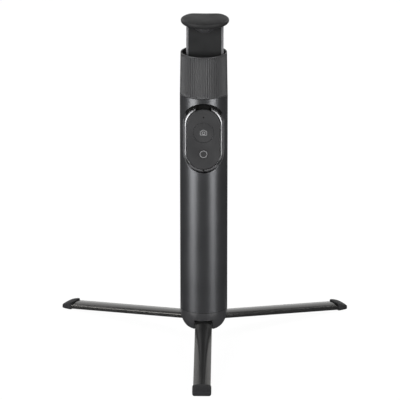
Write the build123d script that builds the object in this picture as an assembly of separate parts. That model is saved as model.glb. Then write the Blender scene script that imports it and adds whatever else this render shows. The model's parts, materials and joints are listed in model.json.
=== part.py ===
from build123d import *
import os
from math import atan, cos, degrees, radians, sin, sqrt

# Folding selfie stick with a built-in three-leg stand, a telescopic pole, a spring-loaded
# phone clamp and a detachable remote. Millimetres, +Z up.
# Heights below are counted from the ground the feet stand on. The finished solids are then
# lowered by STAND, so that the origin lies in the centre of the handle's flat underside.

# ---------------------------------------------------------------- driving dimensions
STAND = 7.0            # the handle's underside above the ground, legs out

BODY_R = 16.5          # handle tube, outside
BODY_IN = 15.1         # handle tube, bore
SEAM_Z = 21.9          # joint between the end cap and the tube
HEAD_Z = 177.7         # top of the tube, where the ribbed head sits
RIM_Z = 207.4          # rim of the ribbed head
SLEEVE_R0 = 16.45      # ribbed head, bottom and top radii, bore
SLEEVE_R1 = 15.95
SLEEVE_IN = 15.2

CAP_FLAT_R = 9.0       # flat underside of the end cap
CAP_WALL = 2.0
CAP_ROUND_Z = 20.6     # where the end cap's rounding starts

LEG_W = 11.8           # leg width
LEG_T = 3.9            # leg thickness at the crown
LEG_SAG = 1.1          # rise of the crown over its edges
LEG_SLOPE = 0.116      # fall of a deployed leg per unit of length
PIVOT_R = 9.5          # leg pivots: distance from the axis
PIVOT_Z = 14.05        # leg pivots: height
LEG_END_R = 110.8      # radius where a leg's bare tip ends, inside its foot
FOOT_IN_R = 108.0
FOOT_OUT_R = 115.6
FOOT_W = 12.9
LEG_AZIMUTHS = {"front": -90.0, "right": 30.0, "left": 150.0}
SLOT_W = 12.8          # slots in the end cap
SLOT_IN_R = 6.8
SLOT_TOP = 16.1
SCREW_R = 9.3          # pitch radius of the carrier screws

POLE_R = 8.2           # fixed outer pole section, outside radius
POLE_STEP = 0.8        # each section is this much smaller in radius
POLE_WALL = 0.45
POLE_RUN = 0.05        # running clearance at glides and lips
POLE_Z0 = 24.0
POLE_Z1 = 124.4
POLE_BASE = 29.0       # foot of the moving sections
GLIDE_H = 4.0
LIP_H = 3.0
MOVING = 5

CUP_R = 15.0           # carriage that holds the clamp
CUP_IN = 14.3
CUP_FLAT = -7.4        # its flat front, behind the remote's dock
CUP_Z0 = 128.0
CUP_Z1 = 203.0

CX = 0.8               # the clamp leans to one side of its slide by this much
NECK_W = 25.5          # across the rails
NECK_T = 8.0           # front to back
RAIL_W = 1.45
CLAMP_CAP_R = 16.55
CLAMP_CAP_Z0 = 226.4
CLAMP_CAP_Z1 = 231.9
CLAMP_CAP_BACK = 12.6
NECK_Z0 = 168.0
JAW_TOP = 166.0        # seat of the lower jaw
JAW_Z0 = 154.3
TILT_Z0 = 150.2

REM_W, REM_H, REM_Z = 22.8, 43.0, 148.6   # remote: width, height, centre height
REM_FRONT, REM_BACK = -14.8, -8.7
REM_SPLIT = -10.1
REM_WALL = 1.0
DOCK_W, DOCK_H, DOCK_Z = 28.5, 49.8, 149.75
DOCK_BACK = -7.7
MAGNET_Z = (133.6, 163.6)
FRAME_W, FRAME_H = 26.6, 46.8
FRAME_FRONT = -14.7
POCKET_W, POCKET_H = 23.2, 43.4
SHUTTER_Z, SHUTTER_R = 153.5, 7.2
POWER_Z, POWER_R = 138.1, 3.3
LED_Z, LED_R = 164.5, 0.5
PRESS = 0.4            # travel of both buttons


# ---------------------------------------------------------------- helpers
def cyl(r, z0, z1, x=0.0, y=0.0):
    return Pos(x, y, (z0 + z1) / 2) * Cylinder(r, z1 - z0)


def tube(ro, ri, z0, z1):
    return cyl(ro, z0, z1) - cyl(ri, z0 - 1, z1 + 1)


def block(x0, x1, y0, y1, z0, z1):
    return Pos((x0 + x1) / 2, (y0 + y1) / 2, (z0 + z1) / 2) * Box(x1 - x0, y1 - y0, z1 - z0)


def disc_y(r, y0, y1, x, z):
    """Round bar along Y, from y0 to y1."""
    return Pos(x, (y0 + y1) / 2, z) * Rot(90, 0, 0) * Cylinder(r, abs(y1 - y0))


def bar_x(r, x0, x1, y, z):
    return Pos((x0 + x1) / 2, y, z) * Rot(0, 90, 0) * Cylinder(r, abs(x1 - x0))


def pill(w, h, zc, y_back, y_front):
    """Upright pill-shaped plate, from y_back forward to y_front."""
    face = Plane.XZ.offset(-y_back) * Pos(0, zc) * SlotOverall(h, w, rotation=90)
    return extrude(face, amount=y_back - y_front)


def revolved(points):
    """Ring or disc from a profile of (radius, height) points."""
    face = Plane.XZ * make_face(Polyline(*points, close=True))
    return revolve(face, Axis.Z, 360)


def spoke(shape, azimuth):
    return Rot(0, 0, azimuth) * shape


PARTS = {}


def node(name, shape):
    PARTS[name] = shape


def group(shapes):
    return Compound(children=list(shapes))


# ---------------------------------------------------------------- handle
handle = tube(BODY_R, BODY_IN, SEAM_Z, HEAD_Z)
handle -= pill(DOCK_W + 0.1, DOCK_H + 0.1, DOCK_Z, -7.2, -20.0)
node("handle_tube", handle)

# end cap: a rounded cup with a slot for each leg that runs out through side and underside
with BuildPart() as cap_bp:
    with BuildSketch(Plane.XZ):
        with BuildLine():
            Polyline((0, SEAM_Z + 4.0), (0, STAND), (CAP_FLAT_R, STAND))
            EllipticalCenterArc((CAP_FLAT_R, CAP_ROUND_Z), BODY_R - CAP_FLAT_R, CAP_ROUND_Z - STAND, start_angle=270, arc_size=90)
            Polyline((BODY_R, CAP_ROUND_Z), (BODY_R, SEAM_Z), (BODY_IN - 0.1, SEAM_Z), (BODY_IN - 0.1, SEAM_Z + 4.0), (0, SEAM_Z + 4.0))
        make_face()
    revolve(axis=Axis.Z)
end_cap = cap_bp.part
end_cap -= revolved([(0, STAND + CAP_WALL), (8.0, STAND + CAP_WALL), (11.6, 11.4), (13.6, 14.6), (14.35, 18.0), (14.35, SEAM_Z + 5), (0, SEAM_Z + 5)])
for az in LEG_AZIMUTHS.values():
    end_cap -= spoke(block(SLOT_IN_R, 30, -SLOT_W / 2, SLOT_W / 2, 0, SLOT_TOP), az)
# screw seat in the middle of the underside
end_cap -= cyl(1.6, STAND - 1, STAND + CAP_WALL + 1)
end_cap -= cyl(3.1, STAND - 1, STAND + 1.1)
node("end_cap", end_cap)

# leg carrier: hub and three lobes that hold the leg pins
CAR_Z0, CAR_Z1 = STAND + CAP_WALL + 0.1, 19.0
carrier = revolved([(0, CAR_Z0), (7.9, CAR_Z0), (11.4, 11.6), (13.4, 14.8), (14.2, 18.0), (14.2, CAR_Z1), (0, CAR_Z1)])
for az in LEG_AZIMUTHS.values():
    carrier -= spoke(block(SLOT_IN_R, 30, -LEG_W / 2 - 0.15, LEG_W / 2 + 0.15, 0, 17.0), az)
    carrier -= spoke(Pos(PIVOT_R, 0, PIVOT_Z) * Rot(90, 0, 0) * Cylinder(1.0, 14.8), az)
    carrier -= spoke(cyl(1.3, 0, 30, SCREW_R, 0), az + 60)
    carrier -= spoke(cyl(1.75, 0, 13.2, SCREW_R, 0), az + 60)
carrier -= cyl(1.3, 0, 16.2)
node("leg_carrier", carrier)

node("leg_pins", group([spoke(Pos(PIVOT_R, 0, PIVOT_Z) * Rot(90, 0, 0) * Cylinder(0.97, 14.6), az) for az in LEG_AZIMUTHS.values()]))
node("carrier_screws", group([spoke(cyl(1.25, 13.2, 22.8, SCREW_R, 0) + cyl(1.7, 12.0, 13.2, SCREW_R, 0), az + 60) for az in LEG_AZIMUTHS.values()]))
node("end_cap_screw", cyl(1.25, 8.1, 16.0) + (cyl(3.0, STAND + 0.1, STAND + 1.1) - cyl(1.0, STAND, STAND + 0.7)))

# leaf spring that loads the leg roots, clamped between the carrier and the pole anchor
leaf = cyl(12.6, CAR_Z1, CAR_Z1 + 0.2)
for az in LEG_AZIMUTHS.values():
    leaf -= spoke(cyl(1.4, 0, 40, SCREW_R, 0), az + 60)
node("leg_detent_spring", leaf)

anchor = cyl(14.3, CAR_Z1 + 0.2, POLE_Z0) + cyl(POLE_R - POLE_WALL - 0.02, POLE_Z0, POLE_BASE - 0.5)
for az in LEG_AZIMUTHS.values():
    anchor -= spoke(cyl(1.27, 0, 22.9, SCREW_R, 0), az + 60)
node("pole_anchor", anchor)

# ---------------------------------------------------------------- telescopic pole
for k in range(MOVING + 1):
    r = POLE_R - POLE_STEP * k
    ri = r - POLE_WALL
    z0 = POLE_Z0 if k == 0 else POLE_BASE
    z1 = POLE_Z1 + 0.3 * k
    s = tube(r, ri, z0, z1)
    if k < MOVING:
        # the top is rolled in so that it just clears the next section
        s += tube(ri + 0.01, r - POLE_STEP + POLE_RUN, z1 - LIP_H, z1)
    node(f"pole_section_{k + 1}", s)
    if k:
        # plastic glide round the foot of each moving section
        node(f"pole_glide_{k + 1}", tube(POLE_R - POLE_STEP * (k - 1) - POLE_WALL - POLE_RUN, r, POLE_BASE, POLE_BASE + GLIDE_H))
POLE_TRAVEL = POLE_Z1 - LIP_H - (POLE_BASE + GLIDE_H)

# ---------------------------------------------------------------- head
sleeve = Pos(0, 0, (HEAD_Z + RIM_Z) / 2) * Cone(SLEEVE_R0, SLEEVE_R1, RIM_Z - HEAD_Z) - cyl(SLEEVE_IN, HEAD_Z - 1, RIM_Z + 1)
node("grip_sleeve", sleeve)

half = block(-40, 40, CUP_FLAT, 40, 0, 300)
half_in = block(-40, 40, CUP_FLAT + 0.7, 40, 0, 300)
cup = (cyl(CUP_R, CUP_Z0, 177.0) & half) + cyl(CUP_R, 177.0, CUP_Z1)
cup -= (cyl(CUP_IN, CUP_Z0 + 2.0, 178.0) & half_in) + cyl(CUP_IN, 177.99, CUP_Z1 + 1)
R_LAST = POLE_R - POLE_STEP * MOVING
cup += cyl(R_LAST - POLE_WALL - 0.02, 120.0, CUP_Z0)
cup -= cyl(1.27, 119.0, CUP_Z0 + 3)
cup -= cyl(2.6, CUP_Z0 + 0.6, CUP_Z0 + 3)
node("clamp_carriage", cup)
node("head_screw", cyl(1.25, 121.0, CUP_Z0 + 0.6) + cyl(2.5, CUP_Z0 + 0.6, CUP_Z0 + 1.9))

# ---------------------------------------------------------------- clamp
nx = NECK_W / 2
ny = NECK_T / 2
cap_disc = cyl(CLAMP_CAP_R, CLAMP_CAP_Z0, CLAMP_CAP_Z1) & block(-40, 40, -40, CLAMP_CAP_BACK, 0, 300)
cap_disc = fillet(cap_disc.edges().group_by(Axis.Z)[-1], 2.0)
cap_disc = fillet(cap_disc.edges().group_by(Axis.Z)[0], 2.3)
node("upper_jaw_cap", Pos(CX, 0, 0) * cap_disc)

pad = block(-8.4, 8.4, -11.6, -ny - 0.1, 223.4, CLAMP_CAP_Z0)
pad = fillet(pad.edges().group_by(Axis.Z)[0], 1.2)
node("upper_jaw_pad", Pos(CX, 0, 0) * pad)

node("jaw_side_rails", group([block(CX - nx, CX - nx + RAIL_W, -ny, ny, NECK_Z0, CLAMP_CAP_Z0),
                              block(CX + nx - RAIL_W, CX + nx, -ny, ny, NECK_Z0, CLAMP_CAP_Z0)]))
PX = nx - RAIL_W - 0.03
node("jaw_front_panel", block(CX - PX, CX + PX, -ny + 0.3, -2.6, NECK_Z0, CLAMP_CAP_Z0))
node("jaw_back_panel", block(CX - PX, CX + PX, 2.6, ny - 0.3, NECK_Z0, CLAMP_CAP_Z0))

core = block(CX - 10.9, CX + 10.9, -2.5, 2.5, JAW_TOP, 222.0)
for sx in (-6.0, 6.0):
    core -= cyl(2.0, JAW_TOP + 1.5, 223.0, CX + sx, 0)
node("clamp_core", core)
node("clamp_springs", group([cyl(1.8, JAW_TOP + 2.0, CLAMP_CAP_Z0 - 0.2, CX + sx, 0) - cyl(1.3, JAW_TOP, 240, CX + sx, 0) for sx in (-6.0, 6.0)]))

jaw = block(CX - 12.3, CX + 12.3, -3.9, 3.9, JAW_Z0, JAW_TOP) + block(CX - 9.0, CX + 9.0, -6.4, -3.9, JAW_TOP - 3.4, JAW_TOP - 1.2)
jaw -= block(CX - 4.1, CX + 4.1, -10, 10, JAW_Z0 - 1, JAW_Z0 + 6.3)
jaw -= bar_x(1.27, CX - 9.1, CX + 9.1, 0, JAW_Z0 + 3.1)
node("lower_jaw", jaw)
node("lower_jaw_pad", block(CX - 8.6, CX + 8.6, -6.3, -4.05, JAW_TOP - 1.2, JAW_TOP))
tilt = block(CX - 11.0, CX + 11.0, -3.8, 3.8, TILT_Z0, JAW_Z0 - 0.3) + block(CX - 3.95, CX + 3.95, -3.0, 3.0, JAW_Z0 - 0.3, JAW_Z0 + 6.0)
tilt -= bar_x(1.29, CX - 9.1, CX + 9.1, 0, JAW_Z0 + 3.1)
node("tilt_block", tilt)
node("tilt_pin", bar_x(1.25, CX - 9.0, CX + 9.0, 0, JAW_Z0 + 3.1))

# ---------------------------------------------------------------- remote and its dock
dock = pill(DOCK_W, DOCK_H, DOCK_Z, DOCK_BACK, -20.0) & cyl(BODY_R - 0.05, 100, 200)
raised = pill(FRAME_W, FRAME_H, REM_Z, DOCK_BACK, FRAME_FRONT)
raised = chamfer(raised.faces().sort_by(Axis.Y)[0].edges(), 1.3)
dock = (dock & block(-40, 40, -13.4, 0, 0, 300)) + (raised & cyl(BODY_R + 3.0, 100, 200))
dock -= pill(POCKET_W, POCKET_H, REM_Z, DOCK_BACK - 0.95, -20.0)
# thumb scoop above the remote
dock -= pill(POCKET_W, POCKET_H, REM_Z + 3.2, -11.8, -20.0)
for z in MAGNET_Z:
    dock -= disc_y(2.55, DOCK_BACK + 1, DOCK_BACK - 2, 0, z)
dock -= disc_y(0.75, DOCK_BACK - 3.0, -20.0, 0, 126.0)
node("remote_dock", dock)
node("dock_magnets", group([disc_y(2.5, DOCK_BACK, DOCK_BACK - 0.9, 0, z) for z in MAGNET_Z]))

front = pill(REM_W, REM_H, REM_Z, REM_SPLIT, REM_FRONT)
front = chamfer(front.faces().sort_by(Axis.Y)[0].edges(), 0.35)
front -= pill(REM_W - 2 * REM_WALL, REM_H - 2 * REM_WALL, REM_Z, REM_SPLIT + 1, REM_FRONT + REM_WALL)
boss_z = (REM_Z - 18.8, REM_Z + 18.9)
for z in boss_z:
    front += disc_y(1.9, REM_SPLIT, REM_FRONT + REM_WALL, 0, z)
    front -= disc_y(0.8, REM_SPLIT + 0.1, REM_FRONT + 1.6, 0, z)
front -= disc_y(SHUTTER_R, REM_FRONT + 2, REM_FRONT - 1, 0, SHUTTER_Z)
front -= disc_y(POWER_R, REM_FRONT + 2, REM_FRONT - 1, 0, POWER_Z)
front -= disc_y(LED_R + 0.05, REM_FRONT + 2, REM_FRONT - 1, 0, LED_Z)
node("remote_front_cover", front)

DOOR_Z = REM_Z
rear = pill(REM_W, REM_H, REM_Z, REM_BACK, REM_SPLIT)
rear -= disc_y(9.0, REM_BACK + 1, REM_SPLIT - 1, 0, DOOR_Z)
for z in boss_z:
    rear -= disc_y(0.8, REM_BACK + 1, REM_SPLIT - 1, 0, z)
    rear -= disc_y(1.5, REM_BACK + 1, REM_BACK - 0.7, 0, z)
node("remote_rear_cover", rear)
door = disc_y(8.9, REM_BACK, REM_BACK - 1.0, 0, DOOR_Z) - block(-3.5, 3.5, REM_BACK - 0.5, REM_BACK + 1, DOOR_Z - 0.5, DOOR_Z + 0.5)
node("battery_door", door)
node("remote_screws", group([disc_y(0.77, REM_BACK - 0.7, REM_FRONT + 2.0, 0, z) + disc_y(1.45, REM_BACK, REM_BACK - 0.7, 0, z) for z in boss_z]))

BOARD_F, BOARD_B = -12.3, -11.6
DOME_H = 0.3
board = pill(19.4, 32.4, REM_Z, BOARD_B, BOARD_F)
node("circuit_board", board)
node("dome_switches", group([disc_y(2.6, BOARD_F, BOARD_F - DOME_H, 0, SHUTTER_Z), disc_y(2.2, BOARD_F, BOARD_F - DOME_H, 0, POWER_Z)]))
node("battery_cell", disc_y(8.0, -9.9, -11.3, 0, DOOR_Z))
node("battery_contact", block(-2.0, 2.0, -11.57, -11.35, DOOR_Z - 5, DOOR_Z + 5))
node("light_pipe", disc_y(LED_R, BOARD_F, REM_FRONT + 0.05, 0, LED_Z))


def button(r, flange, stem, z):
    s = disc_y(r, REM_FRONT + 1.1, REM_FRONT + 0.1, 0, z)
    s += disc_y(flange, REM_FRONT + 1.45, REM_FRONT + REM_WALL + 0.05, 0, z)
    s += disc_y(stem, BOARD_F - DOME_H - PRESS - 0.05, REM_FRONT + 1.4, 0, z)
    return s


node("shutter_button", button(SHUTTER_R - 0.2, SHUTTER_R + 0.7, 1.6, SHUTTER_Z))
node("power_button", button(POWER_R - 0.15, POWER_R + 0.6, 1.2, POWER_Z))

# ---------------------------------------------------------------- legs and feet
slope = degrees(atan(LEG_SLOPE))
c = cos(radians(slope))
LEG_L = (LEG_END_R - PIVOT_R) / c
t2 = LEG_T * c / 2.0
# section: convex crown, flat sides, open underneath
R_CROWN = (LEG_W ** 2 / 4 + LEG_SAG ** 2) / (2 * LEG_SAG)


def leg_section(w, bottom, edge_top, crown):
    return make_face([Line((-w / 2, bottom), (w / 2, bottom)), Line((w / 2, bottom), (w / 2, edge_top)),
                      ThreePointArc((w / 2, edge_top), (0, crown), (-w / 2, edge_top)), Line((-w / 2, edge_top), (-w / 2, bottom))])


leg = extrude(Plane.YZ * leg_section(LEG_W, -t2, t2 - LEG_SAG, t2), amount=LEG_L)
leg -= Pos(8.0, 0, 0) * extrude(Plane.YZ * leg_section(LEG_W - 1.8, -t2 - 1, t2 - LEG_SAG - 0.9, t2 - 0.9), amount=LEG_L)
# rounded root about the pivot
leg += Rot(90, 0, 0) * Cylinder(t2, LEG_W)
leg &= block(-t2 - 1, LEG_L + 1, -LEG_W / 2, LEG_W / 2, -t2, t2)
leg -= Rot(90, 0, 0) * Cylinder(1.02, LEG_W + 2)
leg = Pos(PIVOT_R, 0, PIVOT_Z) * Rot(0, slope, 0) * leg

top_in = 5.5
foot_face = Plane.XZ * make_face(Polyline((FOOT_IN_R, 0.45), (FOOT_IN_R + 0.5, 0.0), (FOOT_OUT_R - 0.6, 0.0), (FOOT_OUT_R - 0.15, 0.2), (FOOT_OUT_R, 0.6),
                                          (FOOT_OUT_R, 2.6), (FOOT_OUT_R - 0.5, 3.3), (FOOT_OUT_R - 1.6, 3.9), (FOOT_OUT_R - 3.6, 4.7), (FOOT_IN_R + 2.0, 5.25), (FOOT_IN_R, top_in), close=True))
foot = extrude(foot_face, amount=FOOT_W / 2, both=True)
corner = extrude(make_face(Polyline((FOOT_IN_R - 1, -FOOT_W / 2), (FOOT_OUT_R - 2.2, -FOOT_W / 2), (FOOT_OUT_R - 0.6, -FOOT_W / 2 + 0.7), (FOOT_OUT_R, -FOOT_W / 2 + 2.2),
                                    (FOOT_OUT_R, FOOT_W / 2 - 2.2), (FOOT_OUT_R - 0.6, FOOT_W / 2 - 0.7), (FOOT_OUT_R - 2.2, FOOT_W / 2), (FOOT_IN_R - 1, FOOT_W / 2), close=True)), amount=10)
foot &= corner
foot -= leg
for name, az in LEG_AZIMUTHS.items():
    node(f"{name}_leg", spoke(leg, az))
    node(f"{name}_foot", spoke(foot, az))

# ---------------------------------------------------------------- write
os.makedirs("parts", exist_ok=True)
for name, shape in PARTS.items():
    shape = Pos(0, 0, -STAND) * shape
    if len(shape.solids()) == 1:
        shape = shape.solids()[0]
    else:
        shape = Compound(children=list(shape.solids()))
    export_step(shape, f"parts/{name}.step")
print(len(PARTS), "nodes; pole travel per section", POLE_TRAVEL)
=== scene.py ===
import json
from math import atan2, cos, pi, radians, sin, sqrt, tan

import bmesh
import bpy
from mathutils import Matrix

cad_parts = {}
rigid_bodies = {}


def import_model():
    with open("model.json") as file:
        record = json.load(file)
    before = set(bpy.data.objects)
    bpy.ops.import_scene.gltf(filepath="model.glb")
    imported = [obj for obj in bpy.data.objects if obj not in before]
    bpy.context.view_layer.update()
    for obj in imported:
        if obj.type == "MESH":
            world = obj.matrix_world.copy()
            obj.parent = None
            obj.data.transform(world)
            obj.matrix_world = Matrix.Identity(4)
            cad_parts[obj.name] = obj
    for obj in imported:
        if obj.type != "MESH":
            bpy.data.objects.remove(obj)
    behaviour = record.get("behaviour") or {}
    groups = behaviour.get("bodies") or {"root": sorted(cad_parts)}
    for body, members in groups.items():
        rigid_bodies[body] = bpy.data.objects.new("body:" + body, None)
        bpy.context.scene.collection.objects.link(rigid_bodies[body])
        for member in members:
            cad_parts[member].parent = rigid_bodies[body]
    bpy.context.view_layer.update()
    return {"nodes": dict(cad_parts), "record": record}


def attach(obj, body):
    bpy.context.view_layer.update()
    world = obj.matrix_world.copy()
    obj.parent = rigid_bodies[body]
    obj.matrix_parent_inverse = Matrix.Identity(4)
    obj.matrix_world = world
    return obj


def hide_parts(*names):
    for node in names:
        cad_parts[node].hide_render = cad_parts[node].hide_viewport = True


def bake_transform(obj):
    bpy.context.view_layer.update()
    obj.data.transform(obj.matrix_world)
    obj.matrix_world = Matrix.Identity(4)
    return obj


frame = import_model()
nodes = frame["nodes"]
MM = 0.001
STAND = 7.0            # mm, the handle's underside above the ground


def Z(v):
    """Height above the ground in mm to the frame's height in m."""
    return (v - STAND) * MM


# ------------------------------------------------------------------ materials
def new_mat(name):
    m = bpy.data.materials.new(name)
    m.use_nodes = True
    nt = m.node_tree
    return m, nt, nt.nodes["Principled BSDF"], nt.nodes


def surface(name, color, metallic=0.0, rough=0.5, rough_var=0.06, tone_var=0.10, tone_scale=90.0,
            grain=2600.0, grain_bump=0.12, grain_dist=0.00004, bevel=0.00025, edge=0.25, spec=0.5,
            coat=0.0, coat_rough=0.1, tint=None, brushed=None, second=None, streaks=0.0, aniso=0.0):
    """Procedural finish: mottled tone, uneven roughness, fine grain, rounded edges lightened partly as edge rubbing
    and partly as painted highlight.
    """
    m, nt, bs, nn = new_mat(name)
    L = nt.links.new
    tc = nn.new("ShaderNodeTexCoord")
    src = tc.outputs["Object"]
    if brushed:
        mp = nn.new("ShaderNodeMapping")
        mp.inputs["Scale"].default_value = brushed
        L(src, mp.inputs["Vector"])
        fine_src = mp.outputs["Vector"]
    else:
        fine_src = src
    n1 = nn.new("ShaderNodeTexNoise")
    n1.inputs["Scale"].default_value = tone_scale
    n1.inputs["Detail"].default_value = 4.0
    L(src, n1.inputs["Vector"])
    n2 = nn.new("ShaderNodeTexNoise")
    n2.inputs["Scale"].default_value = grain
    n2.inputs["Detail"].default_value = 2.0
    L(fine_src, n2.inputs["Vector"])
    ramp = nn.new("ShaderNodeMapRange")
    ramp.inputs["From Min"].default_value = 0.3
    ramp.inputs["From Max"].default_value = 0.7
    ramp.inputs["To Min"].default_value = 1.0 - tone_var
    ramp.inputs["To Max"].default_value = 1.0 + tone_var
    L(n1.outputs["Fac"], ramp.inputs["Value"])
    # fine speckle adds a little to the tone
    sp = nn.new("ShaderNodeMapRange")
    sp.inputs["From Min"].default_value = 0.3
    sp.inputs["From Max"].default_value = 0.7
    sp.inputs["To Min"].default_value = 1.0 - tone_var * 0.8
    sp.inputs["To Max"].default_value = 1.0 + tone_var * 0.8
    L(n2.outputs["Fac"], sp.inputs["Value"])
    mul = nn.new("ShaderNodeMath")
    mul.operation = "MULTIPLY"
    L(ramp.outputs["Result"], mul.inputs[0])
    L(sp.outputs["Result"], mul.inputs[1])
    base = nn.new("ShaderNodeVectorMath")
    base.operation = "SCALE"
    base.inputs[0].default_value = color
    L(mul.outputs[0], base.inputs["Scale"])
    # edges: the rounded normal differs from the flat one only near an edge
    bev = nn.new("ShaderNodeBevel")
    bev.samples = 4
    bev.inputs["Radius"].default_value = bevel * 1.6
    geo = nn.new("ShaderNodeNewGeometry")
    dot = nn.new("ShaderNodeVectorMath")
    dot.operation = "DOT_PRODUCT"
    L(bev.outputs["Normal"], dot.inputs[0])
    L(geo.outputs["Normal"], dot.inputs[1])
    em = nn.new("ShaderNodeMapRange")
    em.inputs["From Min"].default_value = 0.995
    em.inputs["From Max"].default_value = 0.80
    em.inputs["To Min"].default_value = 0.0
    em.inputs["To Max"].default_value = edge
    L(dot.outputs["Value"], em.inputs["Value"])
    edge_wear_and_highlight = nn.new("ShaderNodeMath")
    edge_wear_and_highlight.operation = "MULTIPLY"
    L(em.outputs["Result"], edge_wear_and_highlight.inputs[0])
    L(n1.outputs["Fac"], edge_wear_and_highlight.inputs[1])
    # every edge is lightened, partly as edge rubbing and partly as a painted highlight along the edge
    mix = nn.new("ShaderNodeMix")
    mix.data_type = "RGBA"
    L(edge_wear_and_highlight.outputs[0], mix.inputs["Factor"])
    L(base.outputs["Vector"], mix.inputs[6])
    worn_and_highlight_color = [min(1.0, c * 2.2 + 0.03) for c in color]
    mix.inputs[7].default_value = (*worn_and_highlight_color, 1.0)
    L(mix.outputs[2], bs.inputs["Base Color"])
    rr = nn.new("ShaderNodeMapRange")
    rr.inputs["From Min"].default_value = 0.3
    rr.inputs["From Max"].default_value = 0.7
    rr.inputs["To Min"].default_value = max(0.02, rough - rough_var)
    rr.inputs["To Max"].default_value = min(1.0, rough + rough_var)
    L(n1.outputs["Fac"], rr.inputs["Value"])
    L(rr.outputs["Result"], bs.inputs["Roughness"])
    b = nn.new("ShaderNodeBump")
    b.inputs["Strength"].default_value = grain_bump
    b.inputs["Distance"].default_value = grain_dist
    L(n2.outputs["Fac"], b.inputs["Height"])
    bev2 = nn.new("ShaderNodeBevel")
    bev2.samples = 4
    bev2.inputs["Radius"].default_value = bevel
    L(bev2.outputs["Normal"], b.inputs["Normal"])
    L(b.outputs["Normal"], bs.inputs["Normal"])
    bs.inputs["Metallic"].default_value = metallic
    bs.inputs["Specular IOR Level"].default_value = spec
    bs.inputs["Coat Weight"].default_value = coat
    bs.inputs["Coat Roughness"].default_value = coat_rough
    bs.inputs["Anisotropic"].default_value = aniso
    if tint:
        bs.inputs["Specular Tint"].default_value = (*tint, 1.0)
    return m


M = {
    "body": surface("anodised_body", (0.066, 0.067, 0.070), metallic=0.80, brushed=(0.04, 0.04, 1.0), rough=0.36, rough_var=0.03, tone_var=0.04, tone_scale=40, grain=5200, grain_bump=0.10),
    "cap": surface("end_cap_plastic", (0.020, 0.020, 0.0212), rough=0.40, grain=4200, grain_bump=0.25, bevel=0.0003),
    "sleeve": surface("ribbed_plastic", (0.021, 0.021, 0.022), spec=0.32, rough=0.48, grain=4200, grain_bump=0.18, bevel=0.00012, tone_var=0.07),
    "clamp": surface("clamp_plastic", (0.0135, 0.0135, 0.0137), spec=0.12, rough=0.56, grain=3600, grain_bump=0.16, bevel=0.0004),
    # near-black plastic, its colour lowered further as painted shade for the inside of the grip sleeve
    "panel": surface("panel_plastic", (0.0085, 0.0087, 0.009), spec=0.35, rough=0.42, grain=3000, grain_bump=0.10, bevel=0.0002),
    "rail": surface("grey_rail", (0.14, 0.14, 0.145), metallic=0.5, rough=0.42, grain=3800, grain_bump=0.12, bevel=0.0004),
    "leg": surface("gloss_leg", (0.012, 0.012, 0.012), rough=0.16, rough_var=0.03, tone_var=0.05, grain=1400, grain_bump=0.012, bevel=0.00001, edge=0.0, spec=0.50, coat=0.14, coat_rough=0.16, tint=(1.0, 0.96, 0.90)),
    "rubber": surface("foot_rubber", (0.0075, 0.0075, 0.0083), rough=0.72, grain=2600, grain_bump=0.35, bevel=0.0005, spec=0.22, tone_var=0.12),
    "pole": surface("drawn_aluminium", (0.20, 0.20, 0.205), metallic=1.0, rough=0.34, brushed=(1.0, 1.0, 0.03), grain=5200, grain_bump=0.10, bevel=0.0002, tone_var=0.04),
    "inner": surface("inner_plastic", (0.045, 0.045, 0.047), rough=0.55, grain=2600, grain_bump=0.2),
    "glide": surface("glide_plastic", (0.72, 0.70, 0.64), rough=0.45, grain=2200, grain_bump=0.1),
    "steel": surface("zinc_steel", (0.58, 0.58, 0.60), metallic=1.0, rough=0.30, grain=3800, grain_bump=0.08, bevel=0.0001),
    "dock": surface("bezel_band", (0.085, 0.085, 0.088), metallic=0.4, rough=0.42, grain=4200, grain_bump=0.08, bevel=0.0002, tone_var=0.04),
    "bezel": surface("polished_bezel", (0.135, 0.135, 0.138), metallic=0.95, rough=0.33, rough_var=0.02, grain=4200, grain_bump=0.02, bevel=0.00001, edge=0.0, tone_var=0.03),
    # painted shade: a half-dark colour for the band just below the top of the bezel, so the painted shade fades in
    "painted_shade": surface("painted_shade_band", (0.026, 0.026, 0.027), metallic=0.2, spec=0.3, rough=0.50, grain=4200, grain_bump=0.08, bevel=0.0002, tone_var=0.04),
    # black for the hidden pocket floor and the seam between tube and end cap; also black painted shade in the notch
    # and round the top of the bezel
    "black_and_painted_shade": surface("black_joint_and_painted_shade_finish", (0.003, 0.003, 0.003), spec=0.06, rough=0.60, grain=3200, grain_bump=0.12, bevel=0.0002, tone_var=0.06),
    "remote": surface("remote_plastic", (0.0165, 0.0165, 0.0172), spec=0.38, rough=0.52, grain=5200, grain_bump=0.30, bevel=0.00015, tone_var=0.08),
    "board": surface("solder_mask", (0.01, 0.10, 0.035), rough=0.3, grain=900, grain_bump=0.2, coat=0.4),
    "battery": surface("nickel_cell", (0.66, 0.65, 0.62), metallic=1.0, rough=0.22, grain=2600, grain_bump=0.06),
    "magnet": surface("nickel_magnet", (0.26, 0.26, 0.255), metallic=1.0, rough=0.34, grain=2600, grain_bump=0.04),
    "light_pipe": surface("smoked_pipe", (0.010, 0.010, 0.010), rough=0.15, grain=900, grain_bump=0.02, coat=0.6),
    "lip": surface("lip_plastic", (0.018, 0.018, 0.019), spec=0.35, rough=0.38, grain=3600, grain_bump=0.12, bevel=0.0002),
    "icon": surface("printed_grey", (0.190, 0.190, 0.194), rough=0.55, grain=5200, grain_bump=0.1, bevel=0.00004, edge=0.05),
}
SLOT_MAT = {"body_aluminium": "body", "cap_plastic": "cap", "sleeve_plastic": "sleeve", "clamp_plastic": "clamp", "panel_plastic": "panel", "rail_metal": "rail",
            "leg_metal": "leg", "rubber": "rubber", "pole_metal": "pole", "inner_plastic": "inner", "glide_plastic": "glide", "steel": "steel",
            "dock_metal": "dock", "remote_plastic": "remote", "board": "board", "battery": "battery", "magnet": "magnet", "light_pipe": "light_pipe"}
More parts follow.
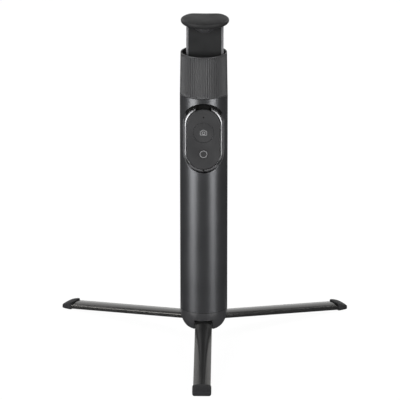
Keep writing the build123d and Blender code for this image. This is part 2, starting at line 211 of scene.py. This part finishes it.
for sp in frame["record"]["subparts"]:
    ob = nodes.get(sp["node"])
    if ob is None:
        continue
    mat = M[SLOT_MAT[sp["material_slot"]]]
    targets = [ob] if ob.type == "MESH" else [c for c in ob.children_recursive if c.type == "MESH"]
    for o in targets:
        for s in o.material_slots:
            s.material = mat
        if not o.material_slots:
            o.data.materials.append(mat)


# ------------------------------------------------------------------ mesh helpers
def make_obj(name, verts, faces, mat, smooth=True):
    me = bpy.data.meshes.new(name)
    me.from_pydata([tuple(v) for v in verts], [], faces)
    me.update()
    ob = bpy.data.objects.new(name, me)
    bpy.context.scene.collection.objects.link(ob)
    me.materials.append(mat)
    bm = bmesh.new()
    bm.from_mesh(me)
    bmesh.ops.recalc_face_normals(bm, faces=bm.faces)
    bm.to_mesh(me)
    bm.free()
    if smooth:
        me.polygons.foreach_set("use_smooth", [True] * len(me.polygons))
    return ob


def loft(name, loops, mat, close_start=True, close_end=True, wrap=False, smooth=True):
    """Closed loops of equal length joined in order. wrap joins the last loop back to the first."""
    n = len(loops[0])
    verts = [v for lp in loops for v in lp]
    faces = []
    pairs = list(range(len(loops) - 1)) + ([len(loops) - 1] if wrap else [])
    for i in pairs:
        a = i * n
        b = ((i + 1) % len(loops)) * n
        for j in range(n):
            k = (j + 1) % n
            faces.append((a + j, a + k, b + k, b + j))
    if not wrap:
        for flag, base in ((close_start, 0), (close_end, (len(loops) - 1) * n)):
            if flag == "ngon":
                faces.append(tuple(range(base, base + n)))
            elif flag:
                c = [sum(verts[base + j][t] for j in range(n)) / n for t in range(3)]
                verts.append(tuple(c))
                ci = len(verts) - 1
                for j in range(n):
                    faces.append((base + j, base + (j + 1) % n, ci))
    return make_obj(name, verts, faces, mat, smooth)


def ring(r, z, n):
    return [(r * cos(2 * pi * j / n) * MM, r * sin(2 * pi * j / n) * MM, Z(z)) for j in range(n)]


# ------------------------------------------------------------------ ribbed head sleeve
RIBS = 66
PER = 10
HEAD_Z, RIM_Z = 177.7, 207.4
N = RIBS * PER


def sleeve_r(z):
    t = (z - HEAD_Z) / (RIM_Z - HEAD_Z)
    return 16.45 + (15.95 - 16.45) * t


def rib_depth(z):
    """The grooves run out just short of both ends."""
    d = 0.43
    lo = min(1.0, max(0.0, (z - HEAD_Z - 0.25) / 0.6))
    hi = min(1.0, max(0.0, (RIM_Z - 0.55 - z) / 0.6))
    return d * min(lo, hi)


def rib_ring(z, inset=0.0):
    out = []
    d = rib_depth(z)
    R = sleeve_r(z) - inset
    for j in range(N):
        ph = (j % PER) / PER
        g = (0.5 - 0.5 * cos(2 * pi * ph)) ** 1.6
        r = R - d * g
        a = 2 * pi * j / N
        out.append((r * cos(a) * MM, r * sin(a) * MM, Z(z)))
    return out


loops = []
for z in (HEAD_Z + 0.05,):
    loops.append(ring(15.22, z, N))
loops.append(rib_ring(HEAD_Z + 0.05, 0.30))
loops.append(rib_ring(HEAD_Z + 0.14, 0.10))
loops.append(rib_ring(HEAD_Z + 0.30, 0.0))
for z in (HEAD_Z + 0.55, HEAD_Z + 0.9, HEAD_Z + 2, HEAD_Z + 8, HEAD_Z + 14, HEAD_Z + 20, RIM_Z - 3, RIM_Z - 1.2, RIM_Z - 0.85, RIM_Z - 0.6):
    loops.append(rib_ring(z))
loops.append(rib_ring(RIM_Z - 0.30, 0.0))
loops.append(rib_ring(RIM_Z - 0.12, 0.07))
loops.append(rib_ring(RIM_Z, 0.24))
loops.append(ring(15.45, RIM_Z, N))
loops.append(ring(15.27, RIM_Z - 0.12, N))
loops.append(ring(15.21, RIM_Z - 0.35, N))
loops.append(ring(15.21, RIM_Z - 6, N))
loops.append(ring(15.21, HEAD_Z + 6, N))
sleeve = loft("ribbed_grip_sleeve", loops, M["sleeve"], wrap=True)
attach(sleeve, "head")
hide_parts("grip_sleeve")

# ------------------------------------------------------------------ upper jaw cap
CX = 0.8
CAP_R = 16.55
CAP_BACK = 12.6
NC = 160


def cap_outline(inset, z, back_extra=0.0, squash_front=0.0):
    pts = []
    for j in range(NC):
        a = 2 * pi * j / NC
        r = CAP_R
        s = sin(a)
        if s > 0.05:
            flat = (CAP_BACK - back_extra) / s
            # smooth minimum of the arc and the flat back
            p = 26.0
            r = (r ** -p + flat ** -p) ** (-1 / p)
        r -= inset
        pts.append(((CX + r * cos(a)) * MM, (r * s + squash_front * max(0.0, -s)) * MM, Z(z)))
    return pts


prof = [(9.0, 231.95), (7.0, 231.93), (5.0, 231.82), (4.0, 231.72), (3.0, 231.58), (1.9, 231.36), (1.15, 231.12), (0.6, 230.84), (0.22, 230.48), (0.04, 230.05), (0.0, 229.5), (0.08, 228.95), (0.3, 228.4), (0.7, 227.9), (1.25, 227.4),
        (2.0, 226.95), (2.8, 226.62), (3.5, 226.42), (4.1, 226.30), (6.0, 226.22), (9.0, 226.2)]
cap = loft("upper_jaw_shell", [cap_outline(i, z) for i, z in prof], M["clamp"])
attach(cap, "upper_jaw")
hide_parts("upper_jaw_cap")


# ------------------------------------------------------------------ upper jaw pad: a crescent lip
def pad_loop(hw, yf, yb, z, n=14):
    """Front edge bowed forward, back edge straight."""
    out = []
    for i in range(n + 1):
        t = -1 + 2 * i / n
        bow = (1 - abs(t) ** 2.6)
        out.append(((CX + hw * t) * MM, (yb + (yf - yb) * (0.35 + 0.65 * bow)) * MM, Z(z)))
    for i in range(n + 1):
        t = 1 - 2 * i / n
        out.append(((CX + hw * t) * MM, yb * MM, Z(z)))
    return out


pad = loft("upper_jaw_lip", [pad_loop(*p) for p in ((8.2, -12.0, -3.75, 226.5), (8.2, -12.1, -3.75, 226.2), (7.7, -12.0, -3.75, 225.7), (6.9, -11.9, -3.75, 225.1), (6.1, -11.7, -3.75, 224.5), (5.4, -11.5, -3.75, 224.0),
                                                     (4.9, -11.3, -3.75, 223.65), (4.6, -11.0, -3.78, 223.47), (4.3, -10.5, -3.8, 223.42))], M["lip"])
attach(pad, "upper_jaw")
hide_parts("upper_jaw_pad")

# ------------------------------------------------------------------ clamp springs: two coils
for i, sx in enumerate((-6.0, 6.0)):
    z0, z1, turns = 168.4, 225.8, 34
    n = turns * 14
    crv = bpy.data.curves.new(f"jaw_spring_{i}", "CURVE")
    crv.dimensions = "3D"
    spl = crv.splines.new("POLY")
    spl.points.add(n)
    for j in range(n + 1):
        a = 2 * pi * turns * j / n
        spl.points[j].co = ((CX + sx + 1.55 * cos(a)) * MM, 1.55 * sin(a) * MM, Z(z0 + (z1 - z0) * j / n), 1)
    crv.bevel_depth = 0.22 * MM
    crv.bevel_resolution = 3
    tmp = bpy.data.objects.new("tmp_spring", crv)
    bpy.context.scene.collection.objects.link(tmp)
    me = bpy.data.meshes.new_from_object(tmp.evaluated_get(bpy.context.evaluated_depsgraph_get()))
    bpy.data.objects.remove(tmp)
    sp_ob = bpy.data.objects.new(f"jaw_spring_{i}", me)
    bpy.context.scene.collection.objects.link(sp_ob)
    me.materials.clear()
    me.materials.append(M["steel"])
    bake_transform(sp_ob)
    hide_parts("clamp_springs")

# ------------------------------------------------------------------ legs: arched channels with a rounded root
PIVOT_R, PIVOT_Z, LEG_W, LEG_T, LEG_SAG, LEG_SLOPE = 9.5, 14.05, 11.8, 3.9, 1.1, 0.116
LC = cos(atan2(LEG_SLOPE, 1.0))
LS = sin(atan2(LEG_SLOPE, 1.0))
LEG_L = (110.8 - PIVOT_R) / LC
T2 = LEG_T * LC / 2


def leg_profile(top, bottom, hollow):
    """Section across the leg: crown, rounded shoulders, flanks, then back along the inside of the channel."""
    hwl = LEG_W / 2
    sag = min(LEG_SAG, max(0.0, (top - bottom) * 0.35))
    c = min(0.38, (top - bottom) * 0.2)
    edge = top - sag
    pts = []
    M_ = 30
    for i in range(M_ + 1):
        x = (hwl - c) * (1 - 2 * i / M_)
        pts.append((x, top - sag * (x / hwl) ** 2))
    for i in range(1, 6):
        t = radians(90 + 90 * i / 6)
        pts.append((-hwl + c + c * cos(t), edge - c + c * sin(t)))
    pts.append((-hwl, edge - c))
    pts.append((-hwl, bottom + 0.12))
    pts.append((-hwl + 0.12, bottom))
    wall = 0.9
    deep = top - wall if hollow else bottom + 0.001
    pts.append((-hwl + wall, bottom))
    for i in range(17):
        x = (-hwl + wall) * (1 - 2 * i / 16)
        z = (deep - sag * (x / hwl) ** 2) if hollow else bottom + 0.0005
        pts.append((x, z))
    pts.append((hwl - wall, bottom))
    pts.append((hwl - 0.12, bottom))
    pts.append((hwl, bottom + 0.12))
    pts.append((hwl, edge - c))
    for i in range(1, 6):
        t = radians(0 + 90 * i / 6)
        pts.append((hwl - c + c * cos(t), edge - c + c * sin(t)))
    return pts


def leg_mesh(name, azimuth):
    ca, sa = cos(radians(azimuth)), sin(radians(azimuth))
    stations = []
    for k in range(9):      # rounded root about the pivot
        t = radians(84 - 84 * k / 8)
        u = -T2 * sin(t)
        hgt = T2 * cos(t)
        stations.append((u, hgt, -hgt, False))
    stations += [(4.0, T2, -T2, False), (7.99, T2, -T2, False), (8.0, T2, -T2, True)]
    stations += [(8.0 + (LEG_L - 8.0) * k / 24, T2, -T2, True) for k in range(1, 25)]
    loops = []
    for u, top, bottom, hollow in stations:
        row = []
        for x, w in leg_profile(top, bottom, hollow):
            rho = PIVOT_R + u * LC + w * LS
            zz = PIVOT_Z - u * LS + w * LC
            row.append(((rho * ca - x * sa) * MM, (rho * sa + x * ca) * MM, Z(zz)))
        loops.append(row)
    ob = loft(name, loops, M["leg"], close_start=True, close_end="ngon")
    n = 32
    bore = []
    for x in (-LEG_W, LEG_W):
        row = []
        for i in range(n):
            u, w = 1.02 * cos(2 * pi * i / n), 1.02 * sin(2 * pi * i / n)
            rho = PIVOT_R + u * LC + w * LS
            row.append(((rho * ca - x * sa) * MM, (rho * sa + x * ca) * MM, Z(PIVOT_Z - u * LS + w * LC)))
        bore.append(row)
    cutter = loft("cut_bore", bore, M["leg"], smooth=False)
    md = ob.modifiers.new("bore", "BOOLEAN")
    md.operation = "DIFFERENCE"
    md.solver = "EXACT"
    md.object = cutter
    me = bpy.data.meshes.new_from_object(ob.evaluated_get(bpy.context.evaluated_depsgraph_get()))
    ob.modifiers.clear()
    ob.data = me
    bpy.data.objects.remove(cutter)
    me.set_sharp_from_angle(angle=radians(32))
    return ob


for nm, az in (("front", -90.0), ("right", 30.0), ("left", 150.0)):
    lg = leg_mesh(f"{nm}_leg_channel", az)
    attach(lg, f"{nm}_leg")
    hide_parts(f"{nm}_leg")


# ------------------------------------------------------------------ rubber feet


def foot_mesh(name, azimuth):
    """Moulded boot: rounded box with a bevelled nose, domed top and a step where the leg enters."""
    loops = []
    # stations along the leg: (radius, bottom, top, half width)
    st = [(107.92, 0.80, 4.95, 5.65), (107.95, 0.40, 5.30, 6.05), (108.2, 0.08, 5.48, 6.33), (108.8, 0.0, 5.45, 6.43), (110.0, 0.0, 5.20, 6.45), (112.0, 0.0, 4.62, 6.45), (113.4, 0.0, 4.10, 6.38),
          (114.3, 0.0, 3.66, 6.25), (115.0, 0.0, 3.24, 6.02), (115.45, 0.0, 2.95, 5.70), (115.6, 0.08, 2.72, 5.50), (115.62, 0.30, 2.45, 5.25)]
    n = 9
    for (rho, zb, zt, hw) in st:
        h = zt - zb
        c = min(1.0, h * 0.34)       # corner radius
        sag = 0.32 * min(1.0, h / 5.0)
        lp = []

        def arc(cx, cz, a0, a1, m=5, rr=c):
            for i in range(m + 1):
                a = radians(a0 + (a1 - a0) * i / m)
                lp.append((cx + rr * cos(a), cz + rr * sin(a)))
        cb = min(0.6, h * 0.25)
        arc(hw - cb, zb + cb, -90, 0, rr=cb)
        arc(hw - c, zt - sag - c, 0, 75)
        for i in range(1, n):
            t = 1 - 2 * i / n
            x = (hw - c) * t
            lp.append((x, zt - sag * (x / hw) ** 2))
        arc(-hw + c, zt - sag - c, 105, 180)
        arc(-hw + cb, zb + cb, 180, 270, rr=cb)
        for i in range(1, 7):
            lp.append(((-hw + cb) + 2 * (hw - cb) * i / 7, zb))
        ca, sa = cos(radians(azimuth)), sin(radians(azimuth))
        bow = 0.75 * max(0.0, min(1.0, (110.0 - rho) / 1.8))      # the edge over the leg is bowed in plan
        row = []
        for x, z in lp:
            q = rho - bow * (1.0 - min(1.0, abs(x) / 6.2) ** 2)
            row.append(((q * ca - x * sa) * MM, (q * sa + x * ca) * MM, Z(z)))
        loops.append(row)
    ob = loft(name, loops, M["rubber"])
    sub = ob.modifiers.new("round", "SUBSURF")
    sub.levels = 1
    sub.render_levels = 1
    return ob


for nm, az in (("front", -90.0), ("right", 30.0), ("left", 150.0)):
    f = foot_mesh(f"{nm}_foot_boot", az)
    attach(f, f"{nm}_leg")
    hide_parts(f"{nm}_foot")

# ------------------------------------------------------------------ remote dock
ARC, SIDE = 72, 26


def pill_loop(w, h, zc, depth):
    """Upright outline with half-round ends and straight sides. depth is how far ahead of the axis the edge lies at each x."""
    rr = w / 2
    straight = h / 2 - rr
    pts = [(rr * cos(pi * j / ARC), straight + rr * sin(pi * j / ARC)) for j in range(ARC)]
    pts += [(-rr, straight - 2 * straight * j / SIDE) for j in range(SIDE)]
    pts += [(-rr * cos(pi * j / ARC), -straight - rr * sin(pi * j / ARC)) for j in range(ARC)]
    pts += [(rr, -straight + 2 * straight * j / SIDE) for j in range(SIDE)]
    return [(x * MM, -depth(x) * MM, Z(zc + z)) for x, z in pts]


def band_depth(x):
    return min(13.4, sqrt(16.42 ** 2 - x * x))


def flat(v):
    return lambda x: v


dock_loops = [pill_loop(28.4, 49.7, 149.75, flat(7.75)), pill_loop(28.4, 49.7, 149.75, lambda x: band_depth(x) - 0.1), pill_loop(28.2, 49.5, 149.75, band_depth), pill_loop(26.75, 46.95, 148.6, band_depth),
              pill_loop(26.6, 46.8, 148.6, lambda x: band_depth(x) + 0.04), *[pill_loop(26.6 - 3.2 * (1 - cos(radians(t))), 46.8 - 3.2 * (1 - cos(radians(t))), 148.6, flat(13.45 + 1.25 * sin(radians(t)))) for t in (0, 12, 24, 36, 48, 60, 72, 84, 90)],
              pill_loop(23.3, 43.5, 148.6, flat(14.68)), pill_loop(23.2, 43.4, 148.6, flat(14.58)), pill_loop(23.2, 43.4, 148.6, flat(8.75)), pill_loop(23.0, 43.2, 148.6, flat(8.65)), pill_loop(12.0, 32.0, 148.6, flat(8.65))]
dock = loft("remote_cradle", dock_loops, M["dock"])
dock.data.materials.append(M["bezel"])
dock.data.materials.append(M["black_and_painted_shade"])


def disc_cutter(name, r, y0, y1, z, n=48):
    return loft(name, [[(r * cos(2 * pi * j / n) * MM, y * MM, Z(z + r * sin(2 * pi * j / n))) for j in range(n)] for y in (y0, y1)], M["black_and_painted_shade"], smooth=False)


# a fingernail notch through the top of the bezel
cutters = [disc_cutter("cut_notch", 5.6, -18.0, -12.2, 168.9, 64)]
cutters += [disc_cutter(f"cut_magnet_{i}", 2.55, -10.0, -7.0, z) for i, z in enumerate((133.6, 163.6))]
cutters.append(disc_cutter("cut_pin", 0.75, -18.0, -10.7, 126.0, 32))
for c in cutters:
    md = dock.modifiers.new("cut", "BOOLEAN")
    md.operation = "DIFFERENCE"
    md.solver = "EXACT"
    md.object = c
me = bpy.data.meshes.new_from_object(dock.evaluated_get(bpy.context.evaluated_depsgraph_get()))
dock.modifiers.clear()
dock.data = me
for c in cutters:
    bpy.data.objects.remove(c)
me.materials.clear()
for k in ("dock", "bezel", "black_and_painted_shade", "painted_shade"):
    me.materials.append(M[k])
for poly in me.polygons:
    c = poly.center
    x, d, z = c.x / MM, -c.y / MM, c.z / MM + STAND
    rr = 11.6
    rz = max(0.0, abs(z - 148.6) - (21.7 - rr))
    inside = sqrt(x * x + rz * rz) < rr + 0.06
    in_notch = sqrt(x * x + (z - 168.9) ** 2) < 5.66
    raised = d > 13.41
    if inside or in_notch or (z > 165.8 and not raised):     # the band round the top of the bezel and the fingernail notch are coloured black as painted shade of the recess
        poly.material_index = 2
    # a half-dark painted shade just below, fading the painted shade in
    elif z > 161.6 and not raised:
        poly.material_index = 3
    elif (raised or sqrt(x * x + rz * rz) < 13.36) and z > 130.5:
        poly.material_index = 1
    else:
        poly.material_index = 0
me.set_sharp_from_angle(angle=radians(24))
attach(dock, "handle")
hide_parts("remote_dock")

# ------------------------------------------------------------------ seam between the tube and the end cap
SEAM_Z = 21.9
seam = loft("cap_seam", [ring(rr, zz, 192) for rr, zz in ((16.46, SEAM_Z - 0.15), (16.518, SEAM_Z - 0.13), (16.518, SEAM_Z + 0.13), (16.46, SEAM_Z + 0.15))], M["black_and_painted_shade"], wrap=True)
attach(seam, "handle")

# ------------------------------------------------------------------ printed symbols on the remote
REM_FRONT = -14.8


def flat_strip(name, paths, width, y, mat, body, thick=0.03):
    """Raised print: ribbons that follow closed or open 2-D paths in the plane of the face."""
    verts, faces = [], []
    for pts, closed in paths:
        n = len(pts)
        base = len(verts)
        for i, (x, z) in enumerate(pts):
            a = pts[(i - 1) % n] if (closed or i) else pts[i]
            b = pts[(i + 1) % n] if (closed or i < n - 1) else pts[i]
            dx, dz = b[0] - a[0], b[1] - a[1]
            L = sqrt(dx * dx + dz * dz) or 1.0
            nx_, nz_ = -dz / L * width / 2, dx / L * width / 2
            verts += [((x + nx_) * MM, y * MM, Z(z + nz_)), ((x - nx_) * MM, y * MM, Z(z - nz_)),
                      ((x - nx_) * MM, (y - thick) * MM, Z(z - nz_)), ((x + nx_) * MM, (y - thick) * MM, Z(z + nz_))]
        seg = n if closed else n - 1
        for i in range(seg):
            p = base + 4 * i
            q = base + 4 * ((i + 1) % n)
            for s in range(4):
                t = (s + 1) % 4
                faces.append((p + s, p + t, q + t, q + s))
        if not closed:
            faces.append((base, base + 1, base + 2, base + 3))
            e = base + 4 * (n - 1)
            faces.append((e + 3, e + 2, e + 1, e))
    ob = make_obj(name, verts, faces, mat, smooth=False)
    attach(ob, body)
    return ob


def circle(cx, cz, r, n=40):
    return [(cx + r * cos(2 * pi * i / n), cz + r * sin(2 * pi * i / n)) for i in range(n)]


SZ, PZ = 153.5, 138.1
# generic camera: body outline with a hump and a lens ring
hw, hb, ht = 2.2, 1.65, 1.2
cam = []


def rc(cx, cz, r, a0, a1, m=5):
    return [(cx + r * cos(radians(a0 + (a1 - a0) * i / m)), cz + r * sin(radians(a0 + (a1 - a0) * i / m))) for i in range(m + 1)]


cam += rc(hw - 0.5, SZ - hb + 0.5, 0.5, -90, 0)
cam += rc(hw - 0.5, SZ + ht - 0.5, 0.5, 0, 90)
cam += [(1.2, SZ + ht), (0.95, SZ + ht + 0.5), (0.6, SZ + ht + 0.75), (-0.6, SZ + ht + 0.75), (-0.95, SZ + ht + 0.5), (-1.2, SZ + ht)]
cam += rc(-hw + 0.5, SZ + ht - 0.5, 0.5, 90, 180)
cam += rc(-hw + 0.5, SZ - hb + 0.5, 0.5, 180, 270)
flat_strip("shutter_symbol", [(cam, True), (circle(0, SZ - 0.25, 0.98), True)], 0.30, REM_FRONT + 0.105, M["icon"], "shutter")
# power button: a closed ring
ring_pts = [(0 + 2.4 * sin(radians(a)), PZ + 2.4 * cos(radians(a))) for a in range(0, 360, 9)]
flat_strip("power_symbol", [(ring_pts, True)], 0.32, REM_FRONT + 0.105, M["icon"], "power")

# ------------------------------------------------------------------ floor, light and camera
def plane(name, x0, x1, y0, y1, z, mat):
    ob = make_obj(name, [(x0, y0, z), (x1, y0, z), (x1, y1, z), (x0, y1, z)], [(0, 1, 2, 3)], mat, smooth=False)
    return ob


fm, fnt, fbs, fnn = new_mat("pale_floor")
fbs.inputs["Base Color"].default_value = (0.06, 0.06, 0.06, 1)
fbs.inputs["Roughness"].default_value = 0.9
fbs.inputs["Specular IOR Level"].default_value = 0.0
fbs.inputs["Emission Color"].default_value = (1, 1, 1, 1)
fbs.inputs["Emission Strength"].default_value = 0.950
floor = plane("floor", -12, 12, -8, 14, Z(0) - 0.00012, fm)
floor.visible_glossy = False
# white backdrop behind the stick, for the gloss on the legs and the jaw
bm_, bnt, bbs, bnn = new_mat("white_backdrop")
bbs.inputs["Base Color"].default_value = (0.0, 0.0, 0.0, 1)
bbs.inputs["Specular IOR Level"].default_value = 0.0
bbs.inputs["Emission Color"].default_value = (1, 1, 1, 1)
bbs.inputs["Emission Strength"].default_value = 1.05
backdrop = make_obj("backdrop", [(-2.2, 1.6, -0.16), (2.2, 1.6, -0.16), (2.2, 1.6, 1.14), (-2.2, 1.6, 1.14)], [(0, 1, 2, 3)], bm_, smooth=False)
backdrop.visible_camera = False
backdrop.visible_diffuse = False
backdrop.visible_shadow = False


def area(name, loc, target, sx, sy, power, color=(1, 1, 1)):
    ld = bpy.data.lights.new(name, "AREA")
    ld.shape = "RECTANGLE"
    ld.size, ld.size_y = sx, sy
    ld.energy = power
    ld.color = color
    ob = bpy.data.objects.new(name, ld)
    bpy.context.scene.collection.objects.link(ob)
    ob.location = loc
    from mathutils import Vector
    d = Vector(target) - Vector(loc)
    ob.rotation_euler = d.to_track_quat("-Z", "Y").to_euler()
    return ob


def polar(az, dist, z):
    """Place round the stick: azimuth 0 is the camera's side, positive to the camera's right."""
    return (dist * sin(radians(az)), -dist * cos(radians(az)), z)


area("soft_left", polar(-53, 1.3, 0.25), (0, 0, 0.08), 0.80, 1.0, 37)
area("soft_right", polar(45, 1.3, 0.25), (0, 0, 0.08), 0.62, 1.0, 27)
area("soft_top", (0.0, 0.75, 1.5), (0, 0, 0.1), 1.6, 1.0, 9)
area("soft_back_left", polar(-138, 1.4, 0.85), (0, 0, 0.08), 0.7, 0.7, 7)
area("soft_back_right", polar(138, 1.4, 0.85), (0, 0, 0.08), 0.7, 0.7, 7)

world = bpy.data.worlds.new("studio")
bpy.context.scene.world = world
world.use_nodes = True
wn = world.node_tree
wn.nodes.clear()
wo = wn.nodes.new("ShaderNodeOutputWorld")
bg = wn.nodes.new("ShaderNodeBackground")
tc = wn.nodes.new("ShaderNodeTexCoord")
sep = wn.nodes.new("ShaderNodeSeparateXYZ")
wn.links.new(tc.outputs["Generated"], sep.inputs[0])
cr = wn.nodes.new("ShaderNodeValToRGB")
cr.color_ramp.interpolation = "EASE"
els = cr.color_ramp.elements
els[0].position = 0.46
els[0].color = (0.030, 0.030, 0.031, 1)
els[1].position = 0.56
els[1].color = (0.12, 0.12, 0.12, 1)
e = els.new(1.0)
e.color = (0.10, 0.10, 0.10, 1)
mr = wn.nodes.new("ShaderNodeMapRange")
mr.inputs["From Min"].default_value = -1
mr.inputs["From Max"].default_value = 1
wn.links.new(sep.outputs["Z"], mr.inputs["Value"])
wn.links.new(mr.outputs["Result"], cr.inputs["Fac"])
wn.links.new(cr.outputs["Color"], bg.inputs["Color"])
bg.inputs["Strength"].default_value = 0.9
wn.links.new(bg.outputs[0], wo.inputs["Surface"])

scene = bpy.context.scene
scene.view_settings.view_transform = "Standard"
scene.view_settings.look = "None"

CAM_D, CAM_H, CAM_PITCH, CAM_F, CAM_AZ = 2000.0, 767.6, 18.457, 3030.0, 0.706
cd = bpy.data.cameras.new("camera")
cd.sensor_width = 36.0
cd.sensor_fit = "HORIZONTAL"
cd.lens = CAM_F * 36.0 / 400.0
cd.shift_x = -3.78 / 400.0
cd.clip_end = 60
cam_ob = bpy.data.objects.new("camera", cd)
scene.collection.objects.link(cam_ob)
a = radians(CAM_AZ)
cam_ob.location = (CAM_D * sin(a) * MM, -CAM_D * cos(a) * MM, Z(CAM_H))
cam_ob.rotation_euler = (radians(90 - CAM_PITCH), 0, a)
scene.camera = cam_ob
